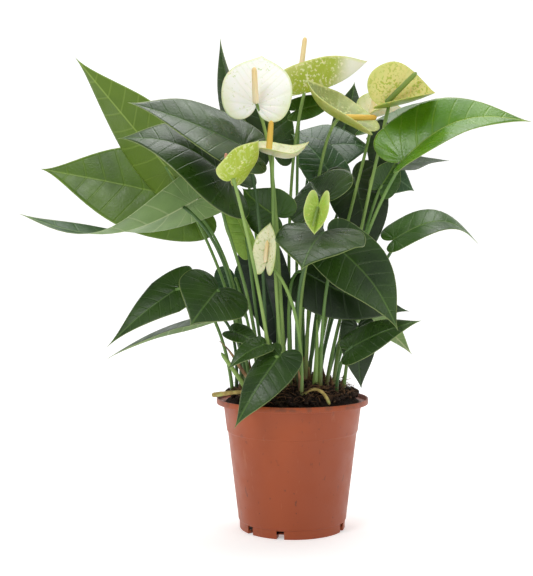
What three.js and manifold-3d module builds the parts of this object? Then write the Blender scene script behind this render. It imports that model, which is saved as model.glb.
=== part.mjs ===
// Potted anthurium: a thin-walled nursery pot, peat, leaves on long petioles, and spathes with spadices.
// Millimetres, +Z up. The front of the plant faces -Y.
// The origin is on the pot's axis, in the plane that the pot stands on.
import * as THREE from 'three';
import { mergeVertices } from 'three/addons/utils/BufferGeometryUtils.js';
import Module from 'manifold-3d';

const wasm = await Module();
wasm.setup();

// ---- Driving dimensions ----
const POT_HEIGHT = 146;
const RIM_RADIUS = 85;
const RIM_SKIRT = 6;            // height of the band round the rim
const NECK_RADIUS = 77.2;       // wall just under the rim
const STEP_HEIGHT = 109;        // where the shoulder band begins
const STEP_RADIUS = 72.4;
const FOOT_BAND = 9.6;          // height of the inset band round the foot
const FOOT_RADIUS = 59;
const WALL = 1.4;
const FLOOR_TOP = 4;
const FLOOR_RAISE = 2.5;        // clear height under the floor, between the hub and the foot ring
const HUB_RADIUS = 20;
const FOOT_RING_INSIDE = 49;
const POT_SEGMENTS = 36;
const NOTCH_WIDTH = 8.5;
const NOTCH_HEIGHT = 9;
const NOTCH_DEPTH = 14;         // right through the foot ring
const NOTCH_AZIMUTHS = [-52, -14, 66, 128, 180, 232];

const PEAT_EDGE = 139;
const PEAT_CENTRE = 163;
const PEAT_SEGMENTS = 24;
const PLANTING_DEPTH = 12;      // how far the stems go down into the peat

const GAP = 0.35;               // clearance between neighbouring pieces
const BLADE_THICKNESS = 1.0;
const SPATHE_THICKNESS = 1.0;
const PETIOLE_RADIUS = 1.9;
const STALK_RADIUS = 1.8;
const STEM_SIDES = 5;
const STEM_STEPS = 6;
const STEM_OVERRUN = 0.04;        // share of the midrib that the stem runs along
const OUTLINE_STEPS = [3, 3, 2];  // samples along each stretch of half an outline
const BLADE_RINGS = [0.5, 1];     // rings of vertices between the leaf joint and the margin

// Half outlines, from the tip round to the notch at the joint.
// Each pair is (share of the length from joint to tip, share of the half width).
const LEAF_OUTLINE = [
  [[1, 0], [0.84, 0.03], [0.55, 1], [0.18, 1]],
  [[0.18, 1], [-0.1, 1], [-0.28, 0.85], [-0.26, 0.46]],
  [[-0.26, 0.46], [-0.25, 0.2], [-0.12, 0.04], [-0.03, 0]],
];
const SPATHE_OUTLINE = [
  [[1, 0], [0.9, 0.1], [0.78, 1], [0.25, 1]],
  [[0.25, 1], [-0.08, 1], [-0.34, 0.8], [-0.3, 0.4]],
  [[-0.3, 0.4], [-0.27, 0.15], [-0.12, 0.04], [-0.03, 0]],
];

const TONES = {
  dark: [0x24452a, 0.38],
  shade: [0x1a3320, 0.42],
  black: [0x142619, 0.45],
  mid: [0x34592f, 0.4],
  grey: [0x4a6a4e, 0.36],
  light: [0x4f7a33, 0.45],
  pale: [0x7c9468, 0.5],
  bright: [0x5f8a34, 0.35],
  young: [0x9bb84a, 0.45],
  white: [0xf2f2e6, 0.4],
  lime: [0xbccb6a, 0.42],
  speckle: [0xa9ba55, 0.42],
  olive: [0xa3ae50, 0.42],
  cream: [0xe6e3bd, 0.45],
  ochre: [0xd9b04c, 0.6],
  green: [0x6f8a3a, 0.6],
  rose: [0xd8a58c, 0.6],
};

// ---- The leaves ----
// root is where the petiole enters the peat, stem its bend points, joint and tip the ends of the midrib.
// face is the direction of the upper surface: degrees round from the front towards +X, then degrees up.
// bow arches the midrib towards that face, sway bends it sideways, and twist, in degrees, turns the blade
// about its midrib from joint to tip. width is the full width, and wave ripples the margin, in millimetres.
// fold and curl are degrees by which each half rises at the midrib and on towards the margin;
// ease is the share of the fold that is gone at the tip. taper draws the outline in towards the tip,
// and lobe lengthens the lobes behind the joint.
const LEAVES = [
  { "name": "leaf_01", "tone": "light", "root": [-54, 12], "stem": [[-55, 20, 255], [-108, 26, 350]],
    "joint": [-140, 25, 402], "tip": [-250, 42, 534], "face": [145, 28], "width": 98,
    "bow": 0.05, "sway": 0.05, "fold": 10, "curl": -8, "wave": 1 },
  { "name": "leaf_02", "tone": "dark", "root": [-26, -26], "stem": [[-34, -35, 300], [-34, -55, 396]],
    "joint": [-54, -62, 420], "tip": [-170, -104, 460], "face": [-15, 48], "width": 98,
    "bow": 0.02, "sway": 0.02, "fold": 14, "curl": -25, "wave": 1, "lobe": 0.8 },
  { "name": "leaf_03", "tone": "dark", "root": [-36, -22],
    "stem": [[-38, -20, 275], [-77, -34, 335], [-88, -42, 370]], "joint": [-70, -45, 388],
    "tip": [-186, -66, 428], "face": [-10, 50], "width": 112,
    "bow": 0.14, "sway": 0.02, "fold": 8, "curl": -22, "wave": 1 },
  { "name": "leaf_04", "tone": "light", "root": [-50, 24], "stem": [[-56, 30, 265], [-80, 60, 340]],
    "joint": [-128, 72, 374], "tip": [-302, 92, 410], "face": [-20, 14], "width": 110,
    "bow": 0.03, "fold": 8, "curl": -14, "wave": 2 },
  { "name": "leaf_05", "tone": "pale", "root": [-58, -12], "stem": [[-52, -15, 255], [-78, -12, 328]],
    "joint": [-114, -10, 363], "tip": [-296, -40, 350], "face": [0, 88], "width": 78,
    "bow": -0.15, "fold": 14, "curl": -10, "twist": -95, "wave": 1 },
  { "name": "leaf_06", "tone": "dark", "root": [-18, 38], "stem": [[-34, 50, 290], [-50, 66, 385]],
    "joint": [-58, 68, 450], "tip": [-84, 70, 563], "face": [-62, 8], "width": 52,
    "bow": 0.05, "sway": 0.04, "fold": 22, "curl": -20 },
  { "name": "leaf_07", "tone": "dark", "root": [-6, 26], "stem": [[-20, 50, 300], [-22, 82, 370]],
    "joint": [-24, 84, 438], "tip": [-36, 100, 540], "face": [0, 5], "width": 60,
    "bow": 0.05, "fold": 10, "curl": -15, "wave": 1 },
  { "name": "leaf_08", "tone": "grey", "root": [16, 34], "stem": [[10, 60, 300], [14, 80, 400]],
    "joint": [26, 92, 434], "tip": [102, 110, 436], "face": [5, 40], "width": 80,
    "bow": 0.1, "fold": 6, "curl": -20, "wave": 1 },
  { "name": "leaf_09", "tone": "grey", "root": [8, 20], "stem": [[12, 44, 300], [34, 56, 375]],
    "joint": [45, 57, 403], "tip": [0, 82, 451], "face": [10, 42], "width": 62,
    "bow": 0.1, "fold": 6, "curl": -20, "wave": 1 },
  { "name": "leaf_10", "tone": "dark", "root": [4, -10], "stem": [[8, -8, 278], [23, -6, 330]],
    "joint": [34, -20, 366], "tip": [20, 34, 390], "face": [-58, 46], "width": 84,
    "bow": 0.06, "fold": 12, "curl": -22, "wave": 1 },
  { "name": "leaf_11", "tone": "dark", "root": [8, -38], "stem": [[-4, -52, 250], [8, -72, 312]],
    "joint": [31, -72, 329], "tip": [6, -126, 290], "face": [-12, 48], "width": 96,
    "bow": 0.06, "sway": 0.02, "fold": 4, "curl": -14, "wave": 3 },
  { "name": "leaf_12", "tone": "dark", "root": [30, -26], "stem": [[30, -40, 257], [39, -46, 302]],
    "joint": [45, -50, 315], "tip": [109, -76, 226], "face": [12, 18], "width": 72,
    "bow": 0.04, "sway": -0.06, "fold": 4, "curl": -5, "wave": 1, "lobe": 0.8 },
  { "name": "leaf_13", "tone": "shade", "root": [-2, -32], "stem": [[-6, -36, 240], [-9, -27, 300]],
    "joint": [10, -21, 288], "tip": [130, -14, 243], "face": [10, 10], "width": 70,
    "bow": 0.03, "sway": 0.06, "fold": 4, "curl": -10, "wave": 2, "lobe": 0.2 },
  { "name": "leaf_14", "tone": "dark", "root": [48, -26], "stem": [[46, -40, 180], [54, -44, 201]],
    "joint": [62, -44, 205], "tip": [135, -66, 236], "face": [0, 52], "width": 50,
    "bow": 0.05, "fold": 6, "curl": -14, "lobe": 0.6 },
  { "name": "leaf_15", "tone": "shade", "root": [56, -6], "stem": [[62, -8, 205], [67, -10, 232]],
    "joint": [72, -16, 226], "tip": [76, -18, 157], "face": [10, 12], "width": 42,
    "bow": 0.05, "sway": 0.03, "fold": 12, "curl": -14, "lobe": 0.6 },
  { "name": "leaf_16", "tone": "pale", "root": [46, 28], "stem": [[58, 40, 220], [80, 58, 240]],
    "joint": [88, 60, 234], "tip": [145, 72, 187], "face": [150, 30], "width": 40,
    "bow": 0.08, "fold": 14, "curl": -12 },
  { "name": "leaf_17", "tone": "mid", "root": [38, 22], "stem": [[50, 26, 232], [107, 18, 291]],
    "joint": [117, 16, 324], "tip": [215, 34, 319], "face": [-8, 58], "width": 58,
    "bow": 0.26, "fold": 10, "curl": -10, "lobe": 0.4 },
  { "name": "leaf_18", "tone": "bright", "root": [36, -16], "stem": [[52, -2, 262], [96, -16, 376]],
    "joint": [120, -30, 409], "tip": [254, -48, 448], "face": [0, 52], "width": 94,
    "bow": 0.14, "sway": -0.08, "fold": 32, "curl": -6, "wave": 1, "ease": 1, "lobe": 0.4 },
  { "name": "leaf_19", "tone": "mid", "root": [16, 46], "stem": [[40, 84, 276], [84, 112, 396]],
    "joint": [116, 104, 464], "tip": [235, 150, 497], "face": [20, 72], "width": 52,
    "bow": 0.08, "fold": 8, "curl": -12 },
  { "name": "leaf_20", "tone": "shade", "root": [28, 22], "stem": [[45, 44, 255], [90, 56, 347]],
    "joint": [124, 64, 409], "tip": [188, 72, 418], "face": [5, 66], "width": 40,
    "bow": 0.04, "fold": 10, "curl": -10, "wave": 2, "lobe": 0.5 },
  { "name": "leaf_21", "tone": "grey", "root": [30, 38], "stem": [[47, 58, 252], [76, 70, 370]],
    "joint": [98, 80, 411], "tip": [150, 92, 383], "face": [10, 30], "width": 66,
    "bow": 0.06, "fold": 6, "curl": -16, "wave": 1, "lobe": 0.6 },
  { "name": "leaf_22", "tone": "mid", "root": [46, 12], "stem": [[54, 18, 244], [92, 18, 368]],
    "joint": [101, 15, 384], "tip": [121, 27, 417], "face": [25, 14], "width": 36,
    "bow": 0.05, "fold": 18, "curl": -10 },
  { "name": "leaf_23", "tone": "shade", "root": [18, 6], "stem": [[28, 34, 277], [55, 50, 380]],
    "joint": [71, 46, 397], "tip": [88, 34, 296], "face": [5, 16], "width": 70,
    "bow": 0.08, "sway": -0.03, "fold": 6, "curl": -14, "wave": 1, "lobe": 0.6 },
  { "name": "leaf_24", "tone": "shade", "root": [16, 20], "stem": [[38, 60, 300], [90, 66, 416]],
    "joint": [115, 62, 447], "tip": [94, 62, 397], "face": [12, 18], "width": 46,
    "bow": 0.08, "fold": 12, "curl": -14 },
  { "name": "leaf_25", "tone": "mid", "root": [-14, -14], "stem": [[-20, -12, 278], [-13, -12, 326]],
    "joint": [-17, -16, 348], "tip": [-56, -10, 380], "face": [-20, -6], "width": 58,
    "bow": 0.08, "sway": -0.02, "fold": 10, "curl": -12 },
  { "name": "leaf_26", "tone": "black", "root": [-20, 8], "stem": [[-30, 18, 220], [-38, 20, 290]],
    "joint": [-34, 12, 293], "tip": [-9, -8, 186], "face": [0, 10], "width": 56,
    "bow": 0.05, "fold": 10, "curl": -10 },
  { "name": "leaf_27", "tone": "dark", "root": [-28, -52], "stem": [[-23, -66, 188], [-21, -72, 203]],
    "joint": [-15, -76, 200], "tip": [-62, -101, 127], "face": [-26, 26], "width": 52,
    "bow": 0.08, "sway": -0.02, "fold": -8, "curl": -14, "wave": 1, "lobe": 0.6 },
  { "name": "leaf_28", "tone": "dark", "root": [-36, -44], "stem": [[-40, -47, 186], [-38, -50, 204]],
    "joint": [-31, -65, 210], "tip": [-70, -80, 185], "face": [-10, 50], "width": 30,
    "bow": 0.1, "fold": 14, "curl": -14, "lobe": 0.4 },
  { "name": "leaf_29", "tone": "dark", "root": [-50, -24], "stem": [[-51, -30, 200], [-67, -34, 224]],
    "joint": [-64, -38, 222], "tip": [-34, -58, 206], "face": [-20, 50], "width": 26,
    "bow": 0.08, "fold": 12, "curl": -14 },
  { "name": "leaf_30", "tone": "dark", "root": [-66, -6], "stem": [[-68, -18, 210], [-98, -14, 278]],
    "joint": [-127, -4, 269], "tip": [-205, -20, 204], "face": [-18, 34], "width": 56,
    "bow": 0.06, "sway": -0.01, "fold": 8, "curl": -16, "wave": 1, "taper": 0.7 },
  { "name": "leaf_31", "tone": "dark", "root": [-46, -14], "stem": [[-52, -18, 223], [-70, -36, 262]],
    "joint": [-82, -42, 268], "tip": [-109, -80, 231], "face": [17, 33], "width": 80,
    "bow": 0.08, "fold": 6, "curl": -18, "wave": 1 },
  { "name": "leaf_32", "tone": "pale", "root": [-64, 10], "stem": [[-60, 12, 203], [-66, 14, 232]],
    "joint": [-84, 12, 241], "tip": [-208, 2, 189], "face": [-30, 100], "width": 50,
    "bow": 0.06, "sway": 0.05, "fold": -20, "curl": -4, "wave": 1, "lobe": 0.35 },
  { "name": "leaf_33", "tone": "grey", "root": [-34, 28], "stem": [[-48, 56, 218], [-61, 70, 270]],
    "joint": [-67, 74, 281], "tip": [-55, 84, 230], "face": [-10, 20], "width": 52,
    "bow": 0.1, "fold": 8, "curl": -14 },
  { "name": "leaf_34", "tone": "young", "root": [-26, -6], "stem": [[-41, -14, 233], [-47, -14, 298]],
    "joint": [-50, -12, 322], "tip": [-76, -2, 390], "face": [-40, 10], "width": 36,
    "bow": 0.04, "fold": 34, "curl": -8 },
  { "name": "leaf_35", "tone": "dark", "root": [10, 44], "stem": [[30, 90, 300], [52, 125, 433]],
    "joint": [67, 132, 464], "tip": [81, 138, 523], "face": [30, 10], "width": 40,
    "bow": 0.05, "fold": 14, "curl": -14 },
  { "name": "leaf_36", "tone": "mid", "root": [6, 32], "stem": [[6, 34, 300], [5, 34, 420]],
    "joint": [7, 40, 473], "tip": [58, 38, 486], "face": [0, 30], "width": 34, "fold": 10, "curl": -10 },
];

// ---- The flowers ----
// A flower is a spathe, shaped as a leaf is, on a stalk.
// Its spadix, with its pistils, stands at the joint and ends at top.
const FLOWERS = [
  { "name": "flower_1", "tone": "white", "root": [-5, -22], "stem": [[-20, -38, 300], [-14, -35, 407]],
    "joint": [-40, -46, 466], "tip": [-34, -40, 520], "face": [-6, 2], "width": 77,
    "bow": 0.06, "fold": 4, "curl": 10, "top": [-42, -70, 502], "radius": 3.5, "pistils": "cream" },
  { "name": "flower_2", "tone": "lime", "root": [0, 14], "stem": [[-6, 30, 300], [-5, 32, 413]],
    "joint": [10, 16, 488], "tip": [88, 40, 530], "face": [180, 60], "width": 70,
    "bow": -0.1, "fold": 40, "curl": 14, "top": [15, 26, 554], "radius": 3.3, "pistils": "cream" },
  { "name": "flower_3", "tone": "olive", "root": [14, -4],
    "stem": [[22, 40, 280], [24, 66, 400], [40, 36, 450]], "joint": [52, -16, 454],
    "tip": [15, -18, 500], "face": [65, 34], "width": 100, "bow": -0.14,
    "fold": 14, "curl": 14, "top": [92, -22, 456], "radius": 3.6, "pistils": "ochre", "lobe": 2.1 },
  { "name": "flower_4", "tone": "speckle", "root": [44, -6], "stem": [[60, 5, 267], [92, 7, 400]],
    "joint": [104, -10, 469], "tip": [157, -16, 484], "face": [-12, 45], "width": 98,
    "bow": -0.04, "fold": 42, "curl": 2, "top": [135, -24, 505], "radius": 3.1, "pistils": "green" },
  { "name": "flower_5", "tone": "cream", "root": [24, 12], "stem": [[46, 16, 300], [86, 26, 416]],
    "joint": [92, 40, 464], "tip": [128, 50, 478], "face": [0, 60], "width": 62,
    "bow": -0.04, "fold": 38, "curl": 10, "top": [97, 36, 494], "radius": 3, "pistils": "cream" },
  { "name": "flower_6", "tone": "cream", "root": [-8, -40], "stem": [[-23, -52, 279], [-22, -66, 374]],
    "joint": [-25, -64, 411], "tip": [16, -66, 425], "face": [0, 72], "width": 50,
    "bow": -0.24, "fold": 18, "curl": 14, "top": [-24, -66, 447], "radius": 3.4, "pistils": "ochre" },
  { "name": "flower_7", "tone": "lime", "root": [-18, -42], "stem": [[-34, -57, 268], [-56, -106, 361]],
    "joint": [-64, -112, 381], "tip": [-37, -118, 420], "face": [-140, 20], "width": 42,
    "bow": -0.06, "fold": 12, "curl": 20, "wave": 1, "lobe": 0.4,
    "top": [-70, -113, 408], "radius": 2.6, "pistils": "rose" },
  { "name": "flower_8", "tone": "young", "root": [10, -22],
    "stem": [[0, -36, 270], [14, -34, 330], [42, -44, 356]], "joint": [25, -80, 354],
    "tip": [20, -97, 326], "face": [-10, 24], "width": 34, "fold": 36, "curl": 8,
    "top": [18, -100, 334], "radius": 1.6, "pistils": "green", "lobe": 1.9 },
  { "name": "flower_9", "tone": "cream", "root": [8, -54], "stem": [[12, -62, 226], [-2, -62, 275]],
    "joint": [-29, -60, 297], "tip": [-25, -60, 340], "face": [-24, 0], "width": 32,
    "fold": 30, "curl": 6, "top": [-28, -64, 321], "radius": 2, "pistils": "cream" },
];

// ---- Aerial roots, a dried sheath and a cut petiole: bend points and end radii of tapering rods ----
const RODS = [
  { name: 'root_left', radii: [1.8, 2.9], colour: [0xb59a55, 0.75],
    path: [[-48, -50, 158], [-62, -58, 160], [-78, -52, 156], [-88, -44, 154]] },
  { name: 'root_front', radii: [1.5, 2], colour: [0xa8a86a, 0.7],
    path: [[12, -56, 157], [24, -60, 168], [34, -64, 160], [38, -66, 146]] },
  { name: 'sheath_green', radii: [3.6, 0.9], path: [[24, -27, 158], [27, -32, 200], [26, -32, 236]],
    colour: [0x8fae55, 0.5] },
  { name: 'stub_cut', radii: [2.6, 2.3], path: [[-50, -40, 158], [-58, -42, 172], [-78, -44, 200]],
    colour: [0x7f9a4a, 0.5] },
];

// ---- Helpers ----
const radians = THREE.MathUtils.degToRad;
const vec = (p) => new THREE.Vector3(...p);

function toSolid(geometry) {
  const bare = geometry.clone();
  bare.deleteAttribute('normal');
  bare.deleteAttribute('uv');
  const merged = mergeVertices(bare, 1e-4);
  return new wasm.Manifold(new wasm.Mesh({
    numProp: 3,
    vertProperties: new Float32Array(merged.attributes.position.array),
    triVerts: new Uint32Array(merged.index.array),
  }));
}

function toMesh(name, solid, [colour, roughness]) {
  const { numProp, vertProperties, triVerts } = solid.getMesh();
  const positions = [];
  for (let v = 0; v < vertProperties.length; v += numProp) {
    positions.push(vertProperties[v], vertProperties[v + 1], vertProperties[v + 2]);
  }
  const geometry = new THREE.BufferGeometry();
  geometry.setAttribute('position', new THREE.Float32BufferAttribute(positions, 3));
  geometry.setIndex([...triVerts]);
  geometry.computeVertexNormals();
  const material = new THREE.MeshStandardMaterial({ color: colour, roughness, metalness: 0 });
  const mesh = new THREE.Mesh(geometry, material);
  mesh.name = name;
  return mesh;
}

// A Bezier curve through its end points, with any number of bend points between.
class BendCurve extends THREE.Curve {
  constructor(points) {
    super();
    this.points = points;
  }

  getPoint(t, target = new THREE.Vector3()) {
    let level = this.points.map((p) => p.clone());
    while (level.length > 1) {
      level = level.slice(1).map((p, i) => level[i].clone().lerp(p, t));
    }
    return target.copy(level[0]);
  }
}

function polygon(radius, sides) {
  const corners = [];
  for (let i = 0; i < sides; i += 1) {
    const turn = 2 * Math.PI * i / sides;
    corners.push(new THREE.Vector2(radius * Math.cos(turn), radius * Math.sin(turn)));
  }
  return new THREE.Shape(corners);
}

function stem(points, radius) {
  const path = new BendCurve(points);
  return toSolid(new THREE.ExtrudeGeometry(polygon(radius, STEM_SIDES), {
    steps: STEM_STEPS,
    extrudePath: path,
    bevelEnabled: false,
  }));
}

// Height of the peat: a mound with a few broad lumps.
function peatHeight(x, y) {
  const share = Math.min(1, Math.hypot(x, y) / NECK_RADIUS);
  const mound = PEAT_EDGE + (PEAT_CENTRE - PEAT_EDGE) * (1 - share ** 3);
  const lumps = Math.sin(x * 0.13 + 1) * Math.cos(y * 0.11 - 0.6) + 0.6 * Math.sin(x * 0.31 - y * 0.23);
  return mound + 2.4 * lumps * (1 - share ** 6);
}

// ---- Blades ----
// Frame of a blade: origin at the joint, then unit vectors along the midrib, out of the face and sideways.
function bladeFrame(row) {
  const joint = vec(row.joint);
  const along = vec(row.tip).sub(joint);
  const length = along.length();
  along.normalize();
  const [round, up] = row.face.map(radians);
  const level = Math.cos(up);
  const out = new THREE.Vector3(Math.sin(round) * level, -Math.cos(round) * level, Math.sin(up));
  out.addScaledVector(along, -out.dot(along)).normalize();
  const side = new THREE.Vector3().crossVectors(along, out);
  return { joint, length, along, out, side };
}

function midrib(row, frame, a) {
  const { bow = 0, sway = 0 } = row;
  const t = Math.max(a, 0);
  const behind = Math.min(a, 0) * Math.PI;
  const rise = bow * Math.sin(Math.PI * t) + behind * bow;
  const drift = sway * Math.sin(Math.PI * t) + behind * sway;
  return frame.joint.clone()
    .addScaledVector(frame.along, frame.length * a)
    .addScaledVector(frame.out, frame.length * rise)
    .addScaledVector(frame.side, frame.length * drift);
}

// The point of the blade at share a of its length and share w of its half width, offset out of its face.
function bladePoint(row, frame, a, w, offset) {
  const { fold = 0, curl = 0, ease = 0, twist = 0, wave = 0 } = row;
  const step = 0.01;
  const tangent = midrib(row, frame, a + step).sub(midrib(row, frame, a - step)).normalize();
  const normal = frame.out.clone().addScaledVector(tangent, -frame.out.dot(tangent)).normalize();
  normal.applyAxisAngle(tangent, radians(twist) * (a - 0.5));
  const side = new THREE.Vector3().crossVectors(tangent, normal);
  const reach = Math.abs(w) * row.width / 2;
  const start = radians(fold) * (1 - ease * Math.max(a, 0));
  const bend = radians(curl) * Math.abs(w);
  const middle = start + bend / 2;
  const lean = start + bend;
  const across = reach * Math.cos(middle) * Math.sign(w);
  const height = reach * Math.sin(middle) + wave * w * w * Math.sin(9 * a + 2 * Math.sign(w));
  return midrib(row, frame, a)
    .addScaledVector(side, across - offset * Math.sin(lean) * Math.sign(w))
    .addScaledVector(normal, height + offset * Math.cos(lean));
}

// The outline as [share of length, share of half width] pairs, from the tip round by the left side.
function outlinePoints(row, stretches) {
  const { taper = 0, lobe = 1 } = row;
  const slender = stretches.map((controls) => controls.map((p) => new THREE.Vector2(...p)));
  slender[0][1].x -= 0.1 * taper;
  slender[0][2].x -= 0.19 * taper;
  slender[0][2].y -= 0.34 * taper;
  const half = [[1, 0]];
  slender.forEach((controls, s) => {
    const curve = new THREE.CubicBezierCurve(...controls);
    for (let i = 1; i <= OUTLINE_STEPS[s]; i += 1) {
      const { x, y } = curve.getPoint(i / OUTLINE_STEPS[s]);
      half.push([x < 0 ? lobe * x : x, y]);
    }
  });
  const left = half.map(([a, w]) => [a, -w]);
  const right = half.slice(1, -1).reverse();
  return [...left, ...right];
}

function blade(row, outline, thickness) {
  const frame = bladeFrame(row);
  const rim = outlinePoints(row, outline);
  const count = rim.length;
  const positions = [];
  for (const offset of [thickness / 2, -thickness / 2]) {
    positions.push(...bladePoint(row, frame, 0, 0, offset).toArray());
    for (const share of BLADE_RINGS) {
      for (const [a, w] of rim) {
        positions.push(...bladePoint(row, frame, a * share, w * share, offset).toArray());
      }
    }
  }
  const perSide = 1 + count * BLADE_RINGS.length;
  const vertex = (face, ring, i) => face * perSide + 1 + ring * count + (i % count);
  const triangles = [];
  const quad = (p, q, r, s) => triangles.push(p, q, r, p, r, s);
  for (let i = 0; i < count; i += 1) {
    triangles.push(0, vertex(0, 0, i), vertex(0, 0, i + 1));
    triangles.push(perSide, vertex(1, 0, i + 1), vertex(1, 0, i));
    for (let ring = 0; ring + 1 < BLADE_RINGS.length; ring += 1) {
      quad(vertex(0, ring, i), vertex(0, ring + 1, i), vertex(0, ring + 1, i + 1), vertex(0, ring, i + 1));
      quad(vertex(1, ring, i), vertex(1, ring, i + 1), vertex(1, ring + 1, i + 1), vertex(1, ring + 1, i));
    }
    const edge = BLADE_RINGS.length - 1;
    quad(vertex(0, edge, i), vertex(1, edge, i), vertex(1, edge, i + 1), vertex(0, edge, i + 1));
  }
  const geometry = new THREE.BufferGeometry();
  geometry.setAttribute('position', new THREE.Float32BufferAttribute(positions, 3));
  geometry.setIndex(triangles);
  return toSolid(geometry);
}

function stemPoints(row) {
  const [x, y] = row.root;
  const end = midrib(row, bladeFrame(row), STEM_OVERRUN);
  return [vec([x, y, peatHeight(x, y) - PLANTING_DEPTH]), ...row.stem.map(vec), end];
}

function leaf(row, extra) {
  const petiole = stem(stemPoints(row), PETIOLE_RADIUS + extra);
  return blade(row, LEAF_OUTLINE, BLADE_THICKNESS + 2 * extra).add(petiole);
}

function spathe(row, extra) {
  const stalk = stem(stemPoints(row), STALK_RADIUS + extra);
  return blade(row, SPATHE_OUTLINE, SPATHE_THICKNESS + 2 * extra).add(stalk);
}

// A capsule that leans from just above the joint to the top of the spadix.
function spadix(row, extra) {
  const frame = bladeFrame(row);
  const clear = (row.radius + SPATHE_THICKNESS) / Math.cos(radians(row.fold));
  const start = vec(row.joint).addScaledVector(frame.out, clear);
  const axis = vec(row.top).sub(start);
  const length = axis.length() + extra;
  const r = row.radius + extra;
  const profile = [
    [0, -extra], [0.75 * r, 0.3 - extra], [r, 3],
    [0.96 * r, length * 0.55], [0.7 * r, length - 3], [0, length],
  ].map((p) => new THREE.Vector2(...p));
  const geometry = new THREE.LatheGeometry(profile, 8);
  geometry.rotateX(Math.PI / 2);
  const turn = new THREE.Quaternion().setFromUnitVectors(new THREE.Vector3(0, 0, 1), axis.normalize());
  geometry.applyQuaternion(turn);
  geometry.translate(...start.toArray());
  return toSolid(geometry);
}

// A rod whose radius runs evenly from one end to the other.
function rod({ path, radii }, extra) {
  const curve = new BendCurve(path.map(vec));
  const geometry = new THREE.ExtrudeGeometry(polygon(1, STEM_SIDES), {
    steps: STEM_STEPS,
    extrudePath: curve,
    bevelEnabled: false,
  });
  const stations = curve.getSpacedPoints(STEM_STEPS);
  const position = geometry.attributes.position;
  const point = new THREE.Vector3();
  for (let i = 0; i < position.count; i += 1) {
    point.fromBufferAttribute(position, i);
    const distances = stations.map((s) => s.distanceTo(point));
    const nearest = distances.indexOf(Math.min(...distances));
    const radius = THREE.MathUtils.lerp(radii[0], radii[1], nearest / STEM_STEPS) + extra;
    point.sub(stations[nearest]).multiplyScalar(radius).add(stations[nearest]);
    position.setXYZ(i, ...point.toArray());
  }
  return toSolid(geometry);
}

// ---- Pot and peat ----
function lathe(profile, segments) {
  const geometry = new THREE.LatheGeometry(profile.map((p) => new THREE.Vector2(...p)), segments);
  geometry.rotateX(Math.PI / 2);
  return toSolid(geometry);
}

const skirtBottom = POT_HEIGHT - RIM_SKIRT;
const wallInside = [
  [FOOT_RADIUS - WALL, FLOOR_TOP],
  [FOOT_RADIUS - WALL + 0.4, FOOT_BAND],
  [STEP_RADIUS - WALL, STEP_HEIGHT],
  [STEP_RADIUS - WALL + 1, STEP_HEIGHT + 1],
  [NECK_RADIUS - WALL, skirtBottom - 1],
];

function pot() {
  const profile = [
    [0, 0],
    [HUB_RADIUS, 0],
    [HUB_RADIUS + 2, FLOOR_RAISE],
    [FOOT_RING_INSIDE - 2, FLOOR_RAISE],
    [FOOT_RING_INSIDE, 0],
    [FOOT_RADIUS, 0],
    [FOOT_RADIUS + 0.4, FOOT_BAND],
    [FOOT_RADIUS + 1.5, FOOT_BAND + 0.8],
    [STEP_RADIUS, STEP_HEIGHT - 0.6],
    [STEP_RADIUS + 1, STEP_HEIGHT + 0.4],
    [NECK_RADIUS, skirtBottom - 1],
    [NECK_RADIUS + 1, skirtBottom],
    [RIM_RADIUS, skirtBottom],
    [RIM_RADIUS, POT_HEIGHT],
    [RIM_RADIUS - WALL, POT_HEIGHT],
    [RIM_RADIUS - WALL - 0.4, skirtBottom + WALL],
    [NECK_RADIUS + 0.6, skirtBottom + WALL],
    ...wallInside.slice().reverse(),
    [0, FLOOR_TOP],
  ];
  let body = lathe(profile, POT_SEGMENTS);
  for (const azimuth of NOTCH_AZIMUTHS) {
    const cutter = new THREE.BoxGeometry(NOTCH_WIDTH, NOTCH_DEPTH, NOTCH_HEIGHT + 1);
    cutter.translate(0, -(FOOT_RADIUS + 2 - NOTCH_DEPTH / 2), (NOTCH_HEIGHT - 1) / 2);
    cutter.rotateZ(radians(azimuth));
    body = body.subtract(toSolid(cutter));
  }
  return body;
}

function peat() {
  const rings = [0.22, 0.45, 0.68, 0.88, 1];
  const edge = wallInside.map(([r, z]) => [r - GAP, Math.max(z, FLOOR_TOP + GAP)]);
  const top = edge[edge.length - 1][0];
  const positions = [0, 0, peatHeight(0, 0)];
  const loops = [
    ...rings.map((share) => top * share)
      .map((r) => (x, y) => [x * r, y * r, peatHeight(x * r, y * r)]),
    ...edge.slice(0, -1).reverse().map(([r, z]) => (x, y) => [x * r, y * r, z]),
  ];
  for (const place of loops) {
    for (let i = 0; i < PEAT_SEGMENTS; i += 1) {
      const turn = 2 * Math.PI * i / PEAT_SEGMENTS;
      positions.push(...place(Math.cos(turn), Math.sin(turn)));
    }
  }
  positions.push(0, 0, edge[0][1]);
  const last = positions.length / 3 - 1;
  const vertex = (loop, i) => 1 + loop * PEAT_SEGMENTS + (i % PEAT_SEGMENTS);
  const triangles = [];
  for (let i = 0; i < PEAT_SEGMENTS; i += 1) {
    triangles.push(0, vertex(0, i), vertex(0, i + 1));
    triangles.push(last, vertex(loops.length - 1, i + 1), vertex(loops.length - 1, i));
    for (let loop = 0; loop + 1 < loops.length; loop += 1) {
      triangles.push(vertex(loop, i), vertex(loop + 1, i), vertex(loop + 1, i + 1));
      triangles.push(vertex(loop, i), vertex(loop + 1, i + 1), vertex(loop, i + 1));
    }
  }
  const geometry = new THREE.BufferGeometry();
  geometry.setAttribute('position', new THREE.Float32BufferAttribute(positions, 3));
  geometry.setIndex(triangles);
  return toSolid(geometry);
}

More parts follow.
